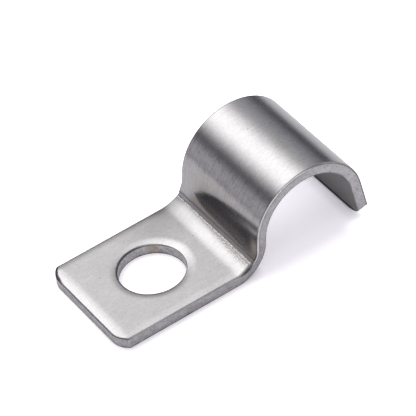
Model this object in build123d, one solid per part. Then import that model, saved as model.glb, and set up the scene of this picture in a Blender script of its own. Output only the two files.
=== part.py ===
from build123d import *
from math import asin, cos, degrees, radians, sin
import os

# One-hole conduit strap, folded from one blank of stainless steel sheet.
# The tab lies flat on the wall and takes the screw. Past the bend, a short riser climbs to the saddle, which
# goes over the conduit, and its free leg comes back down to the wall.
# Frame: the origin is on the hole's axis, on the wall. +X runs from the hole to the saddle, +Y runs along the
# conduit, and +Z points away from the wall. Millimetres and degrees.

# Driving sizes of the blank
sheet = 2.0                # thickness of the flat tab
strap_width = 20.0         # along the conduit
hole_r = 5.25              # clears an M10 screw
hole_to_end = 12.15        # from the hole's axis to the tab's end
corner_r = 3.4             # arc at each corner of both ends
corner_inset = 2.75        # from the long side to where that arc leaves the end's line

# Driving sizes of the fold
conduit_r = 8.0            # the saddle's inside is the conduit's own radius
riser_wall = 1.7           # the sheet is drawn thinner where it climbs from the bend to the saddle
leg_wall = 1.9             # and hardly at all at the free leg
hole_to_saddle = 22.55     # from the hole's axis to the saddle's axis
saddle_height = 5.35       # of the saddle's axis above the wall
bend_lead_r = 6.0          # the bend's hollow side starts on this gentle arc
bend_lead_turn = 30        # which turns it up to this angle
bend_crease_r = 0.3        # the edge of the punch leaves a tight crease
bend_crease_turn = 48      # which turns it up to this angle
bend_rise_r = 4.0          # and this arc takes it up to the riser
bend_back_r = 6.1          # the round side of the bend, on the tab's lower face
flare = 8.5                # the riser and the free leg both lean outwards from upright

# Driving sizes of the edges, which the press pulls down as it cuts
press_roll_width = 1.6     # the band round the hole and along the tab's end that the press pulls down
press_roll_drop = 0.2      # how far it is pulled down at the cut
side_round_r = 0.2         # the slighter rounding along the two long sides

# Sizes that follow
half_width = strap_width / 2
tab_end_x = -hole_to_end
# The saddle's outside is an arc of its own, set off from the inside, so the wall thickens from riser to leg.
saddle_outside_r = conduit_r + (riser_wall + leg_wall) / 2
hole_to_outside = hole_to_saddle + (leg_wall - riser_wall) / 2
# The leg stops where its inner corner meets the wall.
leg_length = (saddle_height + conduit_r * sin(radians(flare))) / cos(radians(flare))
# The rolled band is an arc that leaves the upper face tangent to it.
press_roll_r = (press_roll_width**2 + press_roll_drop**2) / (2 * press_roll_drop)
# Cutting tools reach this far past what they cut.
overrun = sheet


def face_line(height, bend_arcs, saddle_x, saddle_r):
    """One face of the sheet in side view: tab, bend, riser, saddle and free leg, each tangent to the last.
    The bend is a list of arcs, each with its radius and the heading it ends on."""
    lean = radians(flare)
    bend_reach = 0
    riser_foot_z = height
    heading = 0
    for bend_r, end_heading in bend_arcs:
        bend_reach += bend_r * (sin(radians(end_heading)) - sin(radians(heading)))
        riser_foot_z += bend_r * (cos(radians(heading)) - cos(radians(end_heading)))
        heading = end_heading
    riser_length = (saddle_height + saddle_r * sin(lean) - riser_foot_z) / cos(lean)
    bend_x = saddle_x - saddle_r * cos(lean) - riser_length * sin(lean) - bend_reach
    face = [Line((tab_end_x, height), (bend_x, height))]
    heading = 0
    for bend_r, end_heading in bend_arcs:
        face.append(JernArc(face[-1] @ 1, face[-1] % 1, bend_r, end_heading - heading))
        heading = end_heading
    riser = Line(face[-1] @ 1, face[-1] @ 1 + (face[-1] % 1) * riser_length)
    saddle = JernArc(riser @ 1, riser % 1, saddle_r, 2 * flare - 180)
    # The leg's cut is square to its two faces.
    to_cut = leg_length - (saddle_x - hole_to_saddle) * sin(lean)
    leg = Line(saddle @ 1, saddle @ 1 + (saddle % 1) * to_cut)
    return face + [riser, saddle, leg]


riser_heading = 90 - flare
bend_hollow = [(bend_lead_r, bend_lead_turn), (bend_crease_r, bend_crease_turn), (bend_rise_r, riser_heading)]
upper_face = face_line(sheet, bend_hollow, hole_to_outside, saddle_outside_r)
lower_face = face_line(0, [(bend_back_r, riser_heading)], hole_to_saddle, conduit_r)


def folded_sheet():
    """The folded strip at its full width, with its two upper long edges rounded."""
    tab_cut = Line(lower_face[0] @ 0, upper_face[0] @ 0)
    leg_cut = Line(upper_face[-1] @ 1, lower_face[-1] @ 1)
    section = make_face(upper_face + lower_face + [tab_cut, leg_cut])
    strip = extrude(Plane.XZ * section, amount=half_width, both=True)
    long_edges = []
    for side in (-half_width, half_width):
        for line in upper_face:
            middle = line @ 0.5
            long_edges.append(strip.edges().sort_by_distance((middle.X, side, middle.Y))[0])
    return fillet(long_edges, side_round_r)


def corner_waste(side):
    """What the blanking tool takes off one corner of an end at X 0, with the strip at +X."""
    centre = Vector(corner_r, side * (half_width - corner_inset))
    length = corner_r + overrun
    width = corner_inset + overrun
    block = Pos(centre.X - length / 2, centre.Y + side * width / 2) * Rectangle(length, width)
    waste = block - Pos(centre.X, centre.Y) * Circle(corner_r)
    return Pos(0, 0, -overrun) * extrude(waste, amount=sheet + 2 * overrun)


def press_roll_section():
    """The sliver above a rolled band. The cut edge is at X 0, and the band lies on its -X side."""
    foot = Vector(-press_roll_width, 0)
    centre = foot - Vector(0, press_roll_r)
    # The arc runs on past the cut edge by as much as it drops there.
    sweep_angle = degrees(asin((press_roll_width + press_roll_drop) / press_roll_r))
    band = CenterArc(centre, press_roll_r, 90, -sweep_angle)
    outside = Vector((band @ 1).X, overrun)
    above = Vector(foot.X, overrun)
    return make_face([band, Line(band @ 1, outside), Line(outside, above), Line(above, foot)])


def end_roll():
    """The rolled band along the tab's end, as the material that is gone."""
    edge = Plane(origin=(tab_end_x, 0, sheet), x_dir=(-1, 0, 0), z_dir=(0, 1, 0))
    return extrude(edge * press_roll_section(), amount=strap_width, both=True)


def hole_roll():
    """The rolled band round the hole, as the material that is gone."""
    rim = Plane(origin=(hole_r, 0, sheet), x_dir=(-1, 0, 0), z_dir=(0, 1, 0))
    return revolve(rim * press_roll_section(), axis=Axis.Z)


def strap():
    """The finished strap."""
    body = folded_sheet()
    # At the free leg's end, the strip lies upwards along the leg.
    foot = upper_face[-1] @ 1
    along = -(upper_face[-1] % 1)
    leg_cut = Plane(origin=(foot.X, 0, foot.Y), x_dir=(along.X, 0, along.Y), z_dir=(-along.Y, 0, along.X))
    for side in (-1, 1):
        body -= Pos(tab_end_x, 0, 0) * corner_waste(side)
        body -= leg_cut * corner_waste(side)
    body -= end_roll()
    body -= Pos(0, 0, -overrun) * extrude(Circle(hole_r), amount=sheet + 2 * overrun)
    body -= hole_roll()
    return body.solid()


os.makedirs("parts", exist_ok=True)
export_step(strap(), "parts/strap.step")
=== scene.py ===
import bpy
from math import asin, cos, hypot, inf, pi, radians, sin, sqrt
from mathutils import Matrix, Vector
from mathutils.geometry import delaunay_2d_cdt


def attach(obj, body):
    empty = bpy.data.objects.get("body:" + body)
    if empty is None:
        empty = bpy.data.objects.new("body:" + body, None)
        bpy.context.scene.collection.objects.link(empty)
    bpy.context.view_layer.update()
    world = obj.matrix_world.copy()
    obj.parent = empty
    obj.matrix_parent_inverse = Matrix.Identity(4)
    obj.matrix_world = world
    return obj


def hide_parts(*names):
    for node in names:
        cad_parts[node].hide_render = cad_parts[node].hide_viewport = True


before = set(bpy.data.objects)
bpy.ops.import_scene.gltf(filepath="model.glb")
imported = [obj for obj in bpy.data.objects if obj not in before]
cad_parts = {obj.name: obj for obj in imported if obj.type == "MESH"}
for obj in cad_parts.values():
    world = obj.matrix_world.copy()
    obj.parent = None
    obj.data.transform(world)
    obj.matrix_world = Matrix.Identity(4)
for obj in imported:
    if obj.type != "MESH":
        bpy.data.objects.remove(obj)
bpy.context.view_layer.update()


# The blank
# One piece of stainless strip, 20 mm wide and 2 mm thick. The press cuts it out from above, which pulls the
# upper face down round the hole and along the tab's end, and leaves the other edges nearly sharp.
mm = 0.001
sheet = 2.0 * mm
strap_width = 20.0 * mm
hole_r = 5.25 * mm
hole_to_end = 12.15 * mm
corner_r = 3.4 * mm
corner_inset = 2.75 * mm
edge_round_r = 0.16 * mm       # right at every cut the upper face turns over
conduit_r = 8.0 * mm
riser_wall = 1.7 * mm
leg_wall = 1.9 * mm
hole_to_saddle = 22.55 * mm
saddle_height = 5.35 * mm
bend_lead_r = 6.0 * mm
bend_lead_turn = radians(30)
bend_crease_r = 0.3 * mm
bend_crease_turn = radians(48)
bend_rise_r = 4.0 * mm
bend_back_r = 6.1 * mm
flare = radians(8.5)
half_width = strap_width / 2
tab_end_x = -hole_to_end
riser_heading = pi / 2 - flare
flat_end = 7.8 * mm            # the tab is flat on both faces up to here

# The bands that the press pulls down: how wide each is, its slope at the cut, and its fullness. At fullness 1
# the slope dies away evenly, and the fuller the band, the longer the slope holds.
end_band = (2.0 * mm, 0.235, 1.0)
side_band = (1.45 * mm, 0.19, 1.0)
hole_band_bend_side = (1.6 * mm, 0.185, 3.0)
hole_band_end_side = (1.25 * mm, 0.2, 1.0)
side_band_fade = 4.0 * mm      # the long sides' bands die away over this length before the crease
end_band_middle = 1.05         # the end's band has this share of its depth in the middle
end_band_corners = 0.8         # and this share at the corners

# How far apart the mesh has its points.
edge_spacing = 0.5 * mm        # along the cuts
tab_spacing = 0.7 * mm         # on the tab's open face
open_face_inset = 2.5 * mm     # which begins this far from every cut
across_spacing = 1.0 * mm      # in the straight rows across the folded part
across_inset = 0.6 * mm        # which begin this far from the long sides
corner_step = radians(5)
hole_points = 144

# Each curved run takes the sheet from one heading to the next.
headings = {
    "lead": (0.0, bend_lead_turn),
    "crease": (bend_lead_turn, bend_crease_turn),
    "rise": (bend_crease_turn, riser_heading),
    "saddle": (riser_heading, -riser_heading)}
bend_runs = ("lead", "crease", "rise")


def face_sizes(height, bend_radii, saddle_x, saddle_r):
    """The sizes of one face of the folded strip, past the flat of the tab."""
    face = {f"{name} radius": radius for name, radius in zip(bend_runs, bend_radii)}
    bend_reach = 0.0
    riser_foot = height
    for name, radius in zip(bend_runs, bend_radii):
        start, end = headings[name]
        bend_reach += radius * (sin(end) - sin(start))
        riser_foot += radius * (cos(start) - cos(end))
    riser = (saddle_height + saddle_r * sin(flare) - riser_foot) / cos(flare)
    bend_x = saddle_x - saddle_r * cos(flare) - riser * sin(flare) - bend_reach
    leg = (saddle_height + conduit_r * sin(flare)) / cos(flare) - (saddle_x - hole_to_saddle) * sin(flare)
    face.update({"height": height, "rest": bend_x - flat_end, "riser": riser, "saddle radius": saddle_r})
    face["leg"] = leg
    return face


# The saddle's outside is an arc of its own, set off from the inside, so the wall thickens from riser to leg.
outside_x = hole_to_saddle + (leg_wall - riser_wall) / 2
outside_r = conduit_r + (riser_wall + leg_wall) / 2
upper = face_sizes(sheet, (bend_lead_r, bend_crease_r, bend_rise_r), outside_x, outside_r)
lower = face_sizes(0.0, (bend_back_r, bend_back_r, bend_back_r), hole_to_saddle, conduit_r)

# Along the blank, each run is as long as the middle of the sheet.
runs = {}
begins = {}
blank_end = flat_end
for name in ("rest", "lead", "crease", "rise", "riser", "saddle", "leg"):
    if name in headings:
        turn = abs(headings[name][1] - headings[name][0])
        runs[name] = turn * (upper[f"{name} radius"] + lower[f"{name} radius"]) / 2
    else:
        runs[name] = (upper[name] + lower[name]) / 2
    begins[name] = blank_end
    blank_end += runs[name]


def pulled_down(distance, band):
    """How far a band lies below the face, at this distance from the cut."""
    width, slope, fullness = band
    share = min(max(distance / width, 0.0), 1.0)
    return slope * width * (1 - share - (1 - share ** (fullness + 1)) / (fullness + 1))


def turned_over(distance):
    """How far the small round at a cut lies below the face, at this distance from the cut."""
    return edge_round_r - sqrt(edge_round_r**2 - max(edge_round_r - max(distance, 0.0), 0.0) ** 2)


def end_distance(from_end, y):
    """How deep in the strip a point lies, from an end with rounded corners that is this far away."""
    corner_y = half_width - corner_inset
    if abs(y) <= corner_y:
        return from_end
    if from_end <= corner_r:
        return corner_r - hypot(from_end - corner_r, abs(y) - corner_y)
    return half_width


def from_cut(x, y):
    """How far a point of the blank lies from the nearest cut."""
    from_ends = min(end_distance(x - tab_end_x, y), end_distance(blank_end - x, y))
    return max(0.0, min(from_ends, half_width - abs(y), hypot(x, y) - hole_r))


def upper_height(x, y):
    """How high the upper face of the blank lies at a point."""
    bend_share = ((1 + x / hypot(x, y, mm)) / 2) ** 2
    two_sides = zip(hole_band_end_side, hole_band_bend_side)
    hole_band = [by_end + (by_bend - by_end) * bend_share for by_end, by_bend in two_sides]
    hole_drop = pulled_down(hypot(x, y) - hole_r, hole_band)
    to_crease = min(max((begins["crease"] - x) / side_band_fade, 0.0), 1.0)
    side_drop = pulled_down(half_width - abs(y), side_band) * (3 - 2 * to_crease) * to_crease**2
    end_share = end_band_middle - (end_band_middle - end_band_corners) * (y / half_width) ** 2
    end_drop = pulled_down(x - tab_end_x, end_band) * end_share
    return sheet - hypot(end_drop, side_drop) - hole_drop - turned_over(from_cut(x, y))


def spread(low, high, spacing):
    """Even steps from low to high, both included, about as far apart as the spacing."""
    count = max(1, round((high - low) / spacing))
    return [low + (high - low) * i / count for i in range(count + 1)]


# Rows of points follow every cut edge, close together where the edge turns over.
edge_rows = [row * mm for row in (0.0, 0.02, 0.05, 0.1, 0.16, 0.22, 0.32)]
band_rows = edge_rows + [row * mm for row in (0.45, 0.6, 0.8, 1.0, 1.2, 1.4, 1.6, 1.8, 2.0, 2.2)]


def end_row(distance):
    """A row of points at one distance from an end with rounded corners, from the near side to the far one.
    The end's own line is at X 0, and the strip lies at +X."""
    row_r = corner_r - distance
    corner_y = half_width - corner_inset
    meets_side = asin((corner_inset - distance) / row_r)
    turns = spread(0.0, meets_side, corner_step)
    corner = [(corner_r - row_r * cos(turn), corner_y + row_r * sin(turn)) for turn in turns]
    middle = [(distance, y) for y in spread(-corner_y, corner_y, edge_spacing)]
    return [(x, -y) for x, y in reversed(corner)] + middle[1:-1] + corner


def tab_row(distance):
    return [(tab_end_x + x, y) for x, y in end_row(distance)]


def leg_row(distance):
    return [(blank_end - x, y) for x, y in end_row(distance)]


def ring(radius):
    """A ring of points round the hole."""
    turns = [2 * pi * i / hole_points for i in range(hole_points)]
    return [(radius * cos(turn), radius * sin(turn)) for turn in turns]


tab_end = tab_row(0.0)
leg_end = leg_row(0.0)
long_side = spread(tab_end[0][0], leg_end[0][0], edge_spacing)[1:-1]
outline = tab_end + [(x, half_width) for x in long_side] + leg_end[::-1]
outline += [(x, -half_width) for x in reversed(long_side)]
points = outline + ring(hole_r)
for distance in band_rows[1:]:
    points += tab_row(distance)
    points += ring(hole_r + distance)
for distance in edge_rows[1:]:
    points += leg_row(distance)

# Rows along the two long sides, from one end's corners to the other's.
for distance in band_rows[1:]:
    for x in spread(tab_row(distance)[0][0], leg_row(distance)[0][0], edge_spacing)[1:-1]:
        points += [(x, half_width - distance), (x, distance - half_width)]

# The tab's open face, clear of those rows.
for x in spread(tab_end_x, flat_end, tab_spacing):
    for y in spread(-half_width, half_width, tab_spacing):
        if from_cut(x, y) > open_face_inset:
            points.append((x, y))


def clear_of_leg_rows(x, y):
    """Whether a point keeps clear of the rows along the leg's rounded end."""
    from_end = blank_end - x
    return from_end > corner_r or end_distance(from_end, y) > edge_spacing


# Past the flat the rows run straight across, close enough for each curve.
row_spacing = {
    "rest": 0.25 * mm, "lead": 0.15 * mm, "crease": 0.09 * mm, "rise": 0.15 * mm,
    "riser": 0.3 * mm, "saddle": 0.36 * mm, "leg": 0.5 * mm}
across = spread(-half_width + across_inset, half_width - across_inset, across_spacing)
across += [side * (half_width - distance) for distance in edge_rows for side in (-1, 1)]
for name, length in runs.items():
    for x in spread(begins[name], begins[name] + length, row_spacing[name])[:-1]:
        points += [(x, y) for y in across if clear_of_leg_rows(x, y)]

hole_first = len(outline)
edge_loops = [list(range(hole_first)), list(range(hole_first, hole_first + hole_points))]
inside_loops = 1               # what the triangulation fills
same_point = 1e-7              # points closer than this are one
flat_points, _, triangles, *_ = delaunay_2d_cdt(
    [Vector(point) for point in points], [], edge_loops, inside_loops, same_point)


def in_the_hole(triangle):
    """Whether a triangle lies in the hole's waste."""
    centre = sum((flat_points[i] for i in triangle), Vector((0.0, 0.0))) / 3
    return centre.length < hole_r * cos(pi / hole_points)


triangles = [triangle for triangle in triangles if not in_the_hole(triangle)]
edges = [edge for triangle in triangles for edge in zip(triangle, triangle[1:] + triangle[:1])]
shared_edges = {(second, first) for first, second in edges}
cut_edges = [edge for edge in edges if edge not in shared_edges]

# The upper face, the lower face, and the cut between them in a few levels.
face_points = len(flat_points)
vertices = [(x, y, upper_height(x, y)) for x, y in flat_points]
vertices += [(x, y, 0.0) for x, y in flat_points]
cut_levels = [0.97, 0.75, 0.5, 0.25, 0.03]
level_first = {}
for index in sorted({i for edge in cut_edges for i in edge}):
    level_first[index] = len(vertices)
    x, y, top = vertices[index]
    vertices += [(x, y, top * level) for level in cut_levels]


def cut_column(index):
    """The vertices down the cut at one point of the outline, from the upper face to the lower one."""
    first = level_first[index]
    return [index] + list(range(first, first + len(cut_levels))) + [face_points + index]


faces = [tuple(triangle) for triangle in triangles]
faces += [tuple(face_points + i for i in reversed(triangle)) for triangle in triangles]
sheet_faces = len(faces)
for first, second in cut_edges:
    left, right = cut_column(first), cut_column(second)
    for level in range(len(left) - 1):
        faces.append((left[level + 1], right[level + 1], right[level], left[level]))

# The materials read each point's place on the blank and how far it lies from the nearest cut. The fold reads
# which faces are the cut itself.
blank_mesh = bpy.data.meshes.new("blank")
blank_mesh.from_pydata(vertices, [], faces)
on_blank = blank_mesh.attributes.new("blank", "FLOAT_VECTOR", "POINT")
on_blank.data.foreach_set("vector", [value for vertex in vertices for value in vertex])
to_cut = blank_mesh.attributes.new("to_cut", "FLOAT", "POINT")
to_cut.data.foreach_set("value", [from_cut(x, y) for x, y, _ in vertices])
is_cut = blank_mesh.attributes.new("cut", "BOOLEAN", "FACE")
is_cut.data.foreach_set("value", [i >= sheet_faces for i in range(len(faces))])
blank = bpy.data.objects.new("blank", blank_mesh)
bpy.context.scene.collection.objects.link(blank)


# The steel
# The strip comes with a brushed finish along its length. The press leaves a galled line across the bend, and
# the cuts are left as sheared: grey, dull and finely mottled.
class Socket:
    """One output of a node, which takes part in Python sums: each operator adds its Math node."""

    def __init__(self, nodes, node, output):
        self.nodes = nodes
        self.node = node
        self.output = output

    def of(self, name):
        """Another output of the same node."""
        return Socket(self.nodes, self.node, self.node.outputs[name])

    def math(self, operation, *values):
        return self.nodes.add("ShaderNodeMath", {"operation": operation}, dict(enumerate(values)))

    def __add__(self, other):
        return self.math("ADD", self, other)

    def __sub__(self, other):
        return self.math("SUBTRACT", self, other)

    def __rsub__(self, other):
        return self.math("SUBTRACT", other, self)

    def __mul__(self, other):
        return self.math("MULTIPLY", self, other)

    def __truediv__(self, other):
        return self.math("DIVIDE", self, other)

    def __rtruediv__(self, other):
        return self.math("DIVIDE", other, self)

    __radd__ = __add__
    __rmul__ = __mul__

    def sin(self):
        return self.math("SINE", self)

    def cos(self):
        return self.math("COSINE", self)

    def size(self):
        """The value without its sign."""
        return self.math("ABSOLUTE", self)

    def lowest(self, other):
        return self.math("MINIMUM", self, other)

    def highest(self, other):
        return self.math("MAXIMUM", self, other)

    def ease(self, start, end):
        """0 up to start and 1 from end on, with a smooth rise between. The two may be the other way round."""
        inputs = {"Value": self, "From Min": min(start, end), "From Max": max(start, end)}
        if end < start:
            inputs.update({"To Min": 1.0, "To Max": 0.0})
        return self.nodes.add("ShaderNodeMapRange", {"interpolation_type": "SMOOTHSTEP"}, inputs)

    def between(self, start, full, fading, end):
        """0 up to start, 1 from full to fading, and 0 again from end on."""
        return self.ease(start, full) * self.ease(end, fading)


class Nodes:
    """A node tree that is being built."""

    def __init__(self, tree):
        self.tree = tree

    def add(self, kind, settings=None, inputs=None, output=0):
        """One node: its settings are set first, then a value or a link on each of its sockets."""
        node = self.tree.nodes.new(kind)
        for name, value in (settings or {}).items():
            setattr(node, name, value)
        for name, value in (inputs or {}).items():
            if isinstance(value, Socket):
                self.tree.links.new(value.output, node.inputs[name])
            else:
                node.inputs[name].default_value = value
        return Socket(self, node, node.outputs[output] if node.outputs else None)

    def scaled(self, vector, x, y, z):
        return self.add("ShaderNodeVectorMath", {"operation": "MULTIPLY"}, {0: vector, 1: (x, y, z)})

    def length(self, vector):
        return self.add("ShaderNodeVectorMath", {"operation": "LENGTH"}, {0: vector}, "Value")

    def noise(self, vector, bump_size, detail=2.0, roughness=0.5):
        """Smooth noise about 0, in bumps of this size along each axis. Where a size is endless, the noise
        doesn't vary along that axis."""
        vector = self.scaled(vector, *(1 / size for size in bump_size))
        inputs = {"Vector": vector, "Scale": 1.0, "Detail": detail, "Roughness": roughness}
        return self.add("ShaderNodeTexNoise", {"noise_dimensions": "3D"}, inputs) - 0.5

    def mix(self, factor, first, second):
        """One colour into another. The node takes them at sockets 6 and 7, and gives the mixed one at 2."""
        pair = [(*colour, 1.0) if isinstance(colour, tuple) else colour for colour in (first, second)]
        return self.add("ShaderNodeMix", {"data_type": "RGBA"}, {0: factor, 6: pair[0], 7: pair[1]}, 2)

    def layered(self, colour, layers):
        """A colour under layers of others. Each layer has its mask, its strength and its colour."""
        for mask, strength, layer in layers:
            colour = self.mix(mask * strength, colour, layer)
        return colour


def new_material(name):
    """A new material, and its node tree, which is still empty."""
    material = bpy.data.materials.new(name)
    material.use_nodes = True
    material.node_tree.nodes.clear()
    return material, Nodes(material.node_tree)


def place_on_blank(nodes):
    """Where a spot lies on the blank, in millimetres: its place, then along the strip, to the side and up."""
    place = nodes.add("ShaderNodeAttribute", {"attribute_name": "blank"}, output="Vector")
    place = nodes.scaled(place, 1 / mm, 1 / mm, 1 / mm)
    along = nodes.add("ShaderNodeSeparateXYZ", {}, {"Vector": place})
    return place, along, along.of("Y"), along.of("Z")


def by_the_hole(nodes, place):
    """1 on the hole's wall and close to it."""
    return nodes.length(nodes.scaled(place, 1, 1, 0)).ease(hole_r / mm + 0.6, hole_r / mm + 0.4)


# A dark film with no shine, which also serves as painted shade.
film_and_shade_black = (0.05, 0.048, 0.052, 1.0)


def finish_steel(nodes, colour, roughness, brushing, bump_height, bump_depth, film_and_shade_share):
    """Bare steel, and over it, where the share says so, a dark film with no shine, which also serves as
    painted shade.
    Brushing stretches what the steel reflects, and the relief is given as a height and the depth that a
    height of 1 stands for."""
    bump = nodes.add("ShaderNodeBump", {}, {"Strength": 1.0, "Distance": bump_depth, "Height": bump_height})
    steel = nodes.add("ShaderNodeBsdfPrincipled", {}, {
        "Base Color": colour, "Metallic": 1.0, "Roughness": roughness, "Anisotropic": brushing,
        "Normal": bump})
    film_and_shade = nodes.add("ShaderNodeBsdfDiffuse", {}, {"Color": film_and_shade_black})
    surface = nodes.add("ShaderNodeMixShader", {}, {0: film_and_shade_share, 1: steel, 2: film_and_shade})
    nodes.add("ShaderNodeOutputMaterial", {}, {"Surface": surface})


# Where the runs begin along the blank, in millimetres as the masks have them.
tab_end_at = tab_end_x / mm
crease_at = begins["crease"] / mm
rise_at = begins["rise"] / mm
riser_at = begins["riser"] / mm
saddle_at = begins["saddle"] / mm
leg_end_at = blank_end / mm

# The brushed sheet, with fine marks that run along the strip and others that don't.
brushed, nodes = new_material("brushed_sheet")
place, along, side, height = place_on_blank(nodes)
on_top = height.ease(0.9, 1.1)
grain = nodes.noise(place, (3.0, 0.2, 1.0), 3.0)
hairs = nodes.noise(place, (12.0, 0.16, 1.0)).ease(0.15, 0.24)
clouds = nodes.noise(place, (3.0, 3.0, 3.0), 3.0)
mottle = nodes.noise(place, (0.45, 0.32, 0.45), 3.0, 0.7)
clusters = nodes.noise(place, (2.5, 2.5, 2.5), 1.0).ease(0.0, 0.25)
pits = (nodes.noise(place, (0.32, 0.32, 0.32), 1.0) + clusters * 0.1).ease(0.26, 0.33)
speckle = nodes.noise(place, (0.14, 0.4, 1.0), 3.0, 0.7)
flecks = nodes.noise(place, (0.22, 0.34, 1.0), 2.0, 0.7)

# The crease is galled: a broken pale line, a dark one past it, and before it a worn, speckled band, wider
# towards the near side.
wander = nodes.noise(place, (inf, 1.5, inf), 4.0, 0.7)
broken = nodes.noise(place, (inf, 0.7, inf), 3.0, 0.7).ease(-0.15, 0.1)
past_crease = along - crease_at + wander * 0.45
galled = (past_crease + 0.05).size().ease(0.3, 0.0) * (0.3 + broken * 0.7) + speckle * 1.2 + flecks
galled = galled.ease(0.35, 0.9) * on_top
worn_width = 0.35 + side.ease(6.0, -8.0) * 1.25
scuffed = (past_crease / worn_width).ease(-1.15, -0.2) * past_crease.ease(0.25, 0.05) * on_top
worn = scuffed * (0.3 + flecks * 9.0).highest(0.0).lowest(1.0)
scraped = scuffed * (speckle * 0.6 - flecks).ease(0.1, 0.24)
rubbed = past_crease.between(-3.2, -1.6, 0.0, 0.2) * on_top
past_rise = along - rise_at + wander * 0.3 + speckle * 0.15
pressed = (past_rise - 0.75).size().ease(0.22, 0.0) * on_top
smeared = (past_rise.ease(-0.1, 0.15) * 0.45 + past_rise.ease(0.5, 0.8) * 0.55) * past_rise.ease(3.2, 1.4)
smeared = smeared * side.ease(8.5, 6.0) * on_top
smeared = smeared * (0.55 + side.ease(0.0, 4.0) * 0.25 + speckle * 0.9)

# Above it, the riser is left brown where the strip drags over the punch, a stain that also paints shade into
# its dark reflection, and painted shade darkens that reflection further. A rusty patch lies by the near edge.
# From there to the saddle's shoulder the sheet is streaked and smudged.
up_riser = along + clouds * 1.5 + speckle * 0.3
# The stain's darkening is partly painted shade over the riser's dark reflection.
stain = up_riser.between(crease_at + 0.6, crease_at + 1.4, riser_at + 1.5, riser_at + 5.0)
stain = stain * side.ease(9.0, 3.0) * on_top
far_half = side.highest(0.0)
# Painted shade over the riser's dark reflection, deepening it.
reflection_shade_top = (along + far_half * far_half * 0.1).ease(riser_at + 2.8, riser_at + 2.4)
riser_reflection_shade = along.ease(riser_at - 0.6, riser_at + 0.7) * reflection_shade_top
riser_reflection_shade = riser_reflection_shade * side.between(-9.0, -7.5, 5.4, 7.2) * (1 - hairs * 0.4) * on_top
rust = along.between(crease_at + 0.5, crease_at + 1.4, riser_at + 0.3, riser_at + 2.0)
rust = rust * (side + clouds * 2.0).ease(-7.6, -9.2) * on_top
streaks = nodes.noise(place, (14.0, 0.22, 1.0)).ease(0.0, 0.16)
streaks = streaks * along.between(riser_at, riser_at + 2.0, saddle_at + 5.0, saddle_at + 8.0) * on_top
smudges = (nodes.noise(place, (0.9, 0.9, 1.0), 4.0, 0.65) + grain * 0.2).ease(-0.02, 0.16)
smudges = smudges * along.between(saddle_at + 0.5, saddle_at + 3.0, saddle_at + 5.5, saddle_at + 7.5) * on_top

# The tab's far side is darker by the bend, and its far edge darker still on past the crease.
darker_by_bend = side.ease(1.0, 8.0) * along.between(-1.0, 5.0, crease_at - 2.0, crease_at) * on_top
darker_far_edge = side.ease(6.8, 9.6) * along.between(5.0, 8.0, crease_at + 0.2, rise_at + 0.3) * on_top

# A dark line follows the cut at the tab's end, along the near side and round the end's side of the hole.
from_edge = nodes.add("ShaderNodeAttribute", {"attribute_name": "to_cut"}, output="Fac") / mm + mottle * 0.2
at_hole = by_the_hole(nodes, place)
at_end = along.ease(tab_end_at + 2.2, tab_end_at + 1.2)
far_corner = at_end * side.ease(6.0, 7.6)
shows = at_hole * along.ease(4.5, 0.0) + (1 - at_hole) * side.ease(-9.8, -9.3).highest(at_end)
# It is broad by the bend, painted shade where the near edge is pinched in, and runs on up the riser.
near_edge = side.ease(-9.0, -9.5)
pinch_shade = near_edge * along.between(crease_at - 2.8, crease_at - 1.2, rise_at, rise_at + 0.4)
up_the_riser = near_edge * along.between(rise_at, rise_at + 0.4, riser_at + 1.0, saddle_at + 3.0)
rim = (from_edge - far_corner * 0.25 - at_hole * 0.1).ease(0.3, 0.06) * (shows + up_the_riser).lowest(1.0)
rim = rim.highest(from_edge.ease(0.55, 0.15) * pinch_shade) * on_top

# The underside is brownish and painted darker as shade, darkest by the leg's end, where the film paints a
# contact shadow over its foot.
below = height.ease(0.6, 0.2)
underside_shade = below * (0.3 + along.ease(leg_end_at - 9.0, leg_end_at - 1.0) * 0.25)
foot_contact_shadow = below * along.ease(leg_end_at - 0.9, leg_end_at - 0.45)

steel_dark = (0.299, 0.295, 0.305)
steel_light = (0.508, 0.503, 0.515)
darker_grey = (0.18, 0.177, 0.18)
stain_brown = (0.26, 0.23, 0.215)
smudge_brown = (0.25, 0.215, 0.18)
smear_brown = (0.20, 0.18, 0.165)
# the colour of the painted shade over the riser's dark reflection
reflection_shade_grey = (0.19, 0.185, 0.19)
rust_pink = (0.62, 0.54, 0.51)
rubbed_grey = (0.19, 0.18, 0.175)
worn_brown = (0.17, 0.15, 0.135)
pressed_black = (0.12, 0.115, 0.115)
bare_bright = (0.78, 0.765, 0.74)
pit_grey = (0.16, 0.155, 0.16)
# the colour of the underside's brownish painted shade
underside_shade_brown = (0.135, 0.122, 0.12)

tone = 0.46 + grain * 0.4 + hairs * 0.4 + clouds * 0.42 + mottle * 0.75
colour = nodes.layered(nodes.mix(tone, steel_dark, steel_light), [
    (darker_by_bend, 0.36, darker_grey),
    (darker_far_edge, 0.7, darker_grey),
    (stain, 0.62, stain_brown),
    (smudges, 0.42, smudge_brown),
    (streaks, 0.28, smear_brown),
    (riser_reflection_shade, 0.85, reflection_shade_grey),
    (rust, 0.8, rust_pink),
    (rubbed, 0.1, rubbed_grey),
    (worn, 0.6, worn_brown),
    (smeared, 1.0, smear_brown),
    (pressed, 0.75, pressed_black),
    (galled.highest(scraped * 0.5), 0.9, bare_bright),
    (pits, 0.5, pit_grey),
    (underside_shade, 1.0, underside_shade_brown)])
roughness = 0.22 + grain * 0.05 + clouds * 0.04 + mottle * 0.03 + galled * 0.25 + stain * 0.04 + rust * 0.35
relief = grain * 0.35 + hairs * 0.2 + speckle * galled * 2.0 + (speckle + flecks) * scuffed * 6.5 - pits * 0.3
film_and_shade_share = (rim * (0.65 + far_corner * 0.32 + at_hole * 0.2)).highest(foot_contact_shadow * 0.9).highest(underside_shade * 0.25)
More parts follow.
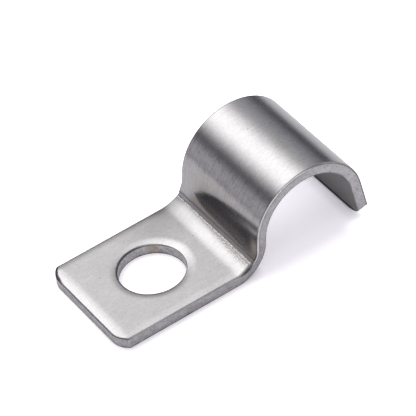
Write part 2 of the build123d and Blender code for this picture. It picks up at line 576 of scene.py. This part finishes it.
finish_steel(nodes, colour, roughness, 0.7, relief, 0.006 * mm, film_and_shade_share)

# The sheared cut, torn and speckled.
sheared, nodes = new_material("sheared_edge")
place, along, side, height = place_on_blank(nodes)
tears = nodes.noise(place, (0.3, 0.3, 0.45), 3.0, 0.6)
specks = nodes.noise(place, (0.24, 0.24, 0.24), 2.0, 0.6).ease(0.1, 0.22)
blotches = nodes.noise(place, (0.8, 0.8, 0.8), 3.0, 0.6)
ragged = height + blotches * 0.25
# From the riser on the cut is lighter. Its lips are dark, the lower one partly as painted contact shadow
# where the cut stands on the floor. Past the crease and over the saddle the upper one is burnished bright,
# with a shade under it.
arched = along.ease(riser_at - 1.0, riser_at + 2.0)
burnished = along.between(crease_at, rise_at + 1.0, saddle_at + 11.0, saddle_at + 15.0)
lip = ragged.ease(1.6, 1.82) * (1 - burnished) + ragged.ease(0.2, 0.05) * (1 - arched * 0.5)
bright_lip = (height + along.ease(saddle_at + 1.0, riser_at) * 0.12).ease(1.58, 1.68) * burnished
shade = ragged.between(1.15, 1.4, 1.5, 1.62) * burnished
# The hole's wall is rougher, and has a brown stain on its far side.
in_hole = by_the_hole(nodes, place)
stain = (along - 3.3 + blotches * 2.0).size().ease(1.3, 0.4) * side.ease(3.0, 4.0) * in_hole
# By the crease the near edge is pinched in, and painted shade of that hollow darkens the cut.
hollow_shade = along.between(crease_at - 3.4, crease_at - 1.2, crease_at - 0.6, crease_at + 0.5)
hollow_shade = hollow_shade * (ragged + hollow_shade * 0.35).ease(1.55, 1.75) * side.ease(0.0, -1.0)

cut_dark = (0.20, 0.195, 0.205)
cut_light = (0.56, 0.55, 0.575)
hole_stain_brown = (0.36, 0.28, 0.19)
lip_black = (0.09, 0.085, 0.09)
shade_grey = (0.2, 0.195, 0.2)
lip_bright = (0.86, 0.85, 0.84)

tone = 0.62 + arched * 0.16 + in_hole * 0.12 + (tears * 0.9 + blotches * 0.9) * (1 + in_hole * 0.8)
tone = tone - specks * (1.0 + in_hole * 0.5)
colour = nodes.layered(nodes.mix(tone, cut_dark, cut_light), [
    (stain, 0.5, hole_stain_brown),
    (lip, 0.75, lip_black),
    (shade, 0.35, shade_grey),
    (bright_lip, 0.8, lip_bright)])
relief = tears + blotches * 0.5 - specks * 0.3
film_and_shade_share = (lip * (0.35 + in_hole * 0.25)).highest(hollow_shade * 0.85)
finish_steel(nodes, colour, 0.5 + tears * 0.2, 0.0, relief, 0.02 * mm, film_and_shade_share)


# The fold
# The press folds the blank over a former: up through the bend, up the riser, over the saddle and down the
# free leg. The tree places each point of the blank by how far along the strip it lies. Each of the two faces
# is folded by its own radii.
bend_bulge = 0.016             # the share of its width by which the bend's squeezed side swells
sharp_edge = radians(38)       # edges that turn by more than this stay sharp
tree = bpy.data.node_groups.new("fold_strip", "GeometryNodeTree")
tree.is_modifier = True
tree.interface.new_socket("Geometry", in_out="INPUT", socket_type="NodeSocketGeometry")
sizes = {"flat end": flat_end, "flare": flare, "lead turn": bend_lead_turn, "crease turn": bend_crease_turn,
         "sheet": sheet, "bulge": bend_bulge}
sizes.update({f"{name} blank": length for name, length in runs.items()})
sizes.update({f"upper {name}": length for name, length in upper.items()})
sizes.update({f"lower {name}": length for name, length in lower.items()})
finishes = {"brushed": brushed, "sheared": sheared}
for name in sizes:
    tree.interface.new_socket(name, in_out="INPUT", socket_type="NodeSocketFloat")
for name in finishes:
    tree.interface.new_socket(name, in_out="INPUT", socket_type="NodeSocketMaterial")
tree.interface.new_socket("Geometry", in_out="OUTPUT", socket_type="NodeSocketGeometry")

nodes = Nodes(tree)
given = nodes.add("NodeGroupInput")
spot = nodes.add("ShaderNodeSeparateXYZ", {}, {"Vector": nodes.add("GeometryNodeInputPosition")})
begin = given.of("flat end")
parts = {}
for name in runs:
    length = given.of(f"{name} blank")
    parts[name] = ((spot - begin) / length).highest(0.0).lowest(1.0)
    begin = begin + length
lean = given.of("flare")
lead_turn = given.of("lead turn")
crease_turn = given.of("crease turn")
bend_steps = (
    ("lead", 0.0, lead_turn),
    ("crease", lead_turn, crease_turn),
    ("rise", crease_turn, pi / 2 - lean))
saddle_heading = lean + parts["saddle"] * (pi - 2 * lean)


def folded(face):
    """Where one face takes a point: how far along, and how high."""
    out = spot.lowest(given.of("flat end")) + parts["rest"] * given.of(f"{face} rest")
    up = given.of(f"{face} height")
    for name, start, end in bend_steps:
        radius = given.of(f"{face} {name} radius")
        heading = start + parts[name] * (end - start)
        start_sin, start_cos = (0.0, 1.0) if name == "lead" else (start.sin(), start.cos())
        out = out + radius * (heading.sin() - start_sin)
        up = up + radius * (start_cos - heading.cos())
    riser = parts["riser"] * given.of(f"{face} riser")
    leg = parts["leg"] * given.of(f"{face} leg")
    saddle_r = given.of(f"{face} saddle radius")
    out = out + riser * lean.sin() + saddle_r * (lean.cos() - saddle_heading.cos()) + leg * lean.sin()
    up = up + riser * lean.cos() + saddle_r * (saddle_heading.sin() - lean.sin()) - leg * lean.cos()
    return out, up


upper_out, upper_up = folded("upper")
lower_out, lower_up = folded("lower")
share = spot.of("Z") / given.of("sheet")
# The bend squeezes its hollow side, which swells a little past the strip's width.
squeeze = (parts["rise"] * pi).sin() * share * given.of("bulge")
folded_to = nodes.add("ShaderNodeCombineXYZ", {}, {
    "X": lower_out + (upper_out - lower_out) * share,
    "Y": spot.of("Y") * (1 + squeeze),
    "Z": lower_up + (upper_up - lower_up) * share})
shape = nodes.add("GeometryNodeSetPosition", {}, {"Geometry": given.of("Geometry"), "Position": folded_to})
shape = nodes.add("GeometryNodeRealizeInstances", {}, {"Geometry": shape})
shape = nodes.add("GeometryNodeSetMaterial", {}, {"Geometry": shape, "Material": given.of("brushed")})
cut_here = nodes.add("GeometryNodeInputNamedAttribute", {"data_type": "BOOLEAN"}, {"Name": "cut"})
shape = nodes.add("GeometryNodeSetMaterial", {}, {
    "Geometry": shape, "Selection": cut_here, "Material": given.of("sheared")})
nodes.add("NodeGroupOutput", {}, {"Geometry": shape})

fold = blank.modifiers.new("fold", "NODES")
fold.node_group = tree
sockets = {item.name: item.identifier for item in tree.interface.items_tree if item.in_out == "INPUT"}
for name, value in (sizes | finishes).items():
    fold[sockets[name]] = value

depsgraph = bpy.context.evaluated_depsgraph_get()
strap_mesh = bpy.data.meshes.new_from_object(
    blank.evaluated_get(depsgraph), preserve_all_data_layers=True, depsgraph=depsgraph)
bpy.data.objects.remove(blank)
strap_mesh.name = "folded_strap"
strap_mesh.shade_smooth()
strap_mesh.set_sharp_from_angle(angle=sharp_edge)
# The brushed finish spreads light across the strip, along Y. Its direction is the one that runs round the Z
# axis of the mesh's texture space, so that space lies far down -X.
strap_mesh.use_auto_texspace = False
strap_mesh.texspace_location = (-1000, 0, 0)
strap_mesh.texspace_size = (1, 1, 1)
strap = bpy.data.objects.new("folded_strap", strap_mesh)
bpy.context.scene.collection.objects.link(strap)
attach(strap, "root")
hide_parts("strap")


# The studio
# The strap stands on a sheet of white paper, in soft light: one long soft box behind and above, a weaker one
# in front, a narrow one to the right and a pale wall to the left.
paper, nodes = new_material("white_paper")
seen = nodes.add("ShaderNodeLightPath")
mirrored = seen.of("Is Glossy Ray").highest(seen.of("Is Transmission Ray"))
spot = nodes.add("ShaderNodeTexCoord", output="Object")
near = nodes.length(spot).ease(220.0 * mm, 60.0 * mm)
# How far a spot lies from the strap's own outline on the floor.
outline_middle_x = 9.5 * mm
outline_half_length = 20.5 * mm
spot = nodes.add("ShaderNodeSeparateXYZ", {}, {"Vector": spot})
past_end = ((spot - outline_middle_x).size() - outline_half_length).highest(0.0)
past_side = (spot.of("Y").size() - half_width).highest(0.0)
beside = nodes.length(nodes.add("ShaderNodeCombineXYZ", {}, {"X": past_end, "Y": past_side}))
clear = beside.ease(-2.0 * mm, 7.0 * mm)
# Painted light: the paper glows brighter under the arch, as if lit through from behind, and a little on the
# right past the leg.
through = spot.of("Y").ease(-7.5 * mm, 1.0 * mm)
before_leg = spot.ease(27.0 * mm, 30.5 * mm) * spot.of("Y").ease(-9.0 * mm, -10.5 * mm)
past_leg = before_leg.highest(spot.ease(30.0 * mm, 32.5 * mm))
far_right = spot.ease(30.0 * mm, 60.0 * mm)
# Where the leg stands on the floor a thin dark line is painted as its contact shadow, up to its rounded
# corners.
foot_x = hole_to_saddle + conduit_r * cos(flare) + lower["leg"] * sin(flare)
foot_reach = 0.3 * mm
contact_shadow = spot.between(foot_x - foot_reach, foot_x, foot_x, foot_x + foot_reach)
contact_shadow = contact_shadow * spot.of("Y").size().ease(half_width - 2.0 * mm, half_width - 3.0 * mm)

# The paper is painted darker far from the strap, as painted shade where less light would fall.
paper_far = (0.45, 0.45, 0.46)
paper_near = (0.88, 0.88, 0.88)
contact_shadow_black = (0.04, 0.04, 0.042)
shadow_tint = (1.02, 0.98, 1.085)
mirrored_tint = (0.88, 0.95, 1.35)
contact_shadow_strength = 0.6
contact_shadow = contact_shadow * contact_shadow_strength
paper_colour = nodes.mix(contact_shadow, nodes.mix(near, paper_far, paper_near), contact_shadow_black)
matt = nodes.add("ShaderNodeBsdfDiffuse", {}, {"Color": paper_colour})
# To the camera the paper glows up to white, and less close to the strap and where little sky is open, as a
# painted shadow. In the steel it glows a little, a painted reflection that is bluer to the far right.
close_glow = 0.37
clear_glow = 0.5
through_glow = 0.21
past_leg_glow = 0.2
steel_glow = 0.17
steel_glow_far_right = 0.05
open_sky = nodes.add("ShaderNodeAmbientOcclusion", {"samples": 8}, {"Distance": 2 * mm}, "AO")
open_sky = open_sky.highest(past_leg) * (1 - contact_shadow)
to_camera = close_glow + clear * clear_glow + through * through_glow + past_leg * past_leg_glow
in_steel = near * (steel_glow - far_right * (steel_glow - steel_glow_far_right))
glow = nodes.add("ShaderNodeEmission", {}, {
    "Color": nodes.mix(mirrored * far_right, shadow_tint, mirrored_tint),
    "Strength": (seen.of("Is Camera Ray") * to_camera + mirrored * in_steel) * open_sky})
both = nodes.add("ShaderNodeAddShader", {}, {0: matt, 1: glow})
nodes.add("ShaderNodeOutputMaterial", {}, {"Surface": both})
half_floor = 1.5
floor_corners = [(-half_floor, -half_floor, 0), (half_floor, -half_floor, 0), (half_floor, half_floor, 0),
                 (-half_floor, half_floor, 0)]
floor_mesh = bpy.data.meshes.new("paper_floor")
floor_mesh.from_pydata(floor_corners, [], [(0, 1, 2, 3)])
floor_mesh.materials.append(paper)
floor = bpy.data.objects.new("paper_floor", floor_mesh)
bpy.context.scene.collection.objects.link(floor)

# The lamps are part of the sky. Its directions are read round the Y axis, in degrees: 0 is straight up, and
# the angle grows towards +X. The depth is 1 straight behind and -1 straight in front.
soft_box_strength = 2.55
front_box_strength = 1.1
side_box_strength = 1.3
wall_strength = 0.49
room_strength = 0.22
room_on_the_right = 0.09       # where it is darker
room_in_front = 0.34           # where it is lighter
room_tint = (0.985, 0.965, 1.045, 1.0)
box_tint = (1.0, 0.99, 0.96)
side_box_tint = (0.95, 0.96, 1.04)
world = bpy.data.worlds.new("studio")
bpy.context.scene.world = world
world.use_nodes = True
world.node_tree.nodes.clear()
nodes = Nodes(world.node_tree)
way = nodes.add("ShaderNodeSeparateXYZ", {}, {"Vector": nodes.add("ShaderNodeTexCoord", output="Generated")})
depth = way.of("Y")
tilt = nodes.add("ShaderNodeMath", {"operation": "ARCTAN2"}, {0: way, 1: way.of("Z")}) * (180 / pi)
behind = depth.ease(0.0, 0.3)
in_front = depth.ease(0.0, -0.3)
soft_box = tilt.ease(-51.0, -7.0) * (tilt.ease(40.0, 2.0) * 0.72 + tilt.ease(90.0, 20.0) * 0.28)
soft_box = soft_box * depth.ease(0.95, 0.66) * behind * soft_box_strength
front_box = tilt.between(-45.0, -15.0, 10.0, 40.0) * in_front * front_box_strength
side_box = tilt.ease(45.0, 60.0) * depth.size().ease(0.3, 0.1) * side_box_strength
wall = tilt.ease(-53.0, -73.0) * behind * wall_strength
room = room_strength + wall - tilt.ease(60.0, 80.0) * (room_strength - room_on_the_right)
room = room + in_front * (room_in_front - room_strength)
dim = nodes.add("ShaderNodeBackground", {}, {"Color": room_tint, "Strength": room})
bright = nodes.add("ShaderNodeBackground", {}, {
    "Color": nodes.mix(tilt.ease(35.0, 60.0), box_tint, side_box_tint),
    "Strength": soft_box + front_box + side_box})
sky = nodes.add("ShaderNodeAddShader", {}, {0: dim, 1: bright})
white = nodes.add("ShaderNodeBackground", {}, {"Color": (1.0, 1.0, 1.0, 1.0), "Strength": 1.0})
to_camera = nodes.add("ShaderNodeLightPath", output="Is Camera Ray")
nodes.add("ShaderNodeOutputWorld", {}, {
    "Surface": nodes.add("ShaderNodeMixShader", {}, {0: to_camera, 1: sky, 2: white})})


# The camera
# It stands well back with a long lens, in front and to the left, and looks down at the strap.
camera_place = Vector((-159.922, -313.261, 343.882)) * mm
rightward = Vector((0.81789, -0.56474, -0.11012)).normalized()
backward = Vector((-0.34872, -0.63877, 0.68583)).normalized()
upward = backward.cross(rightward).normalized()
rightward = upward.cross(backward)
camera_data = bpy.data.cameras.new("camera")
camera_data.sensor_width = 36.0
camera_data.lens = 282.337
camera_data.clip_start = 0.01
camera = bpy.data.objects.new("camera", camera_data)
bpy.context.scene.collection.objects.link(camera)
turn = Matrix((rightward, upward, backward)).transposed().to_4x4()
camera.matrix_world = Matrix.Translation(camera_place) @ turn
bpy.context.scene.camera = camera
bpy.context.scene.view_settings.view_transform = "Standard"
